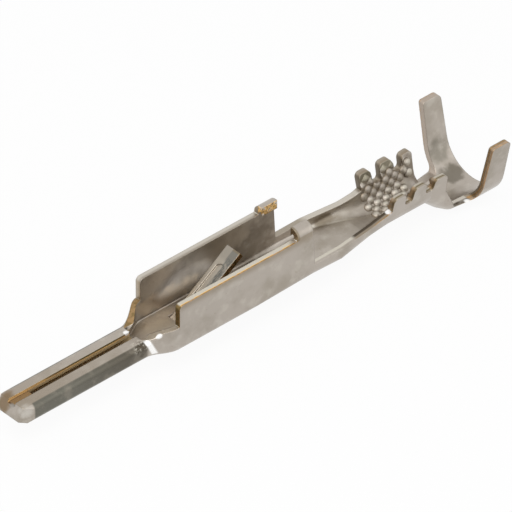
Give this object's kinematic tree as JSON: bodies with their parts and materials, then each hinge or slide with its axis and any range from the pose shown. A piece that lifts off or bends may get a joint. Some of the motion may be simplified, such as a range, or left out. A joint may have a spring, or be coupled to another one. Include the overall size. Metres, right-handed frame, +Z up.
{
  "type": "crimp pin contact",
  "caption": "Stamped and folded crimp contact: blunt seamed pin, open box with a struck-up locking lance and curled tabs, fingered wire barrel and flared insulation barrel.",
  "frame": {"origin": "centre of the bounding box at its lowest point, under the insulation barrel", "axes": "+X along the contact from the pin tip to the wire end, +Y across, +Z up out of the open box"},
  "size_m": [0.026, 0.0046, 0.0039],
  "materials": {
    "tin_plate": "satin tin plate over copper alloy, bare copper colour on sheared edges"
  },
  "bodies": {
    "root": {"pin_contact": "tin_plate"}
  },
  "joints": []
}
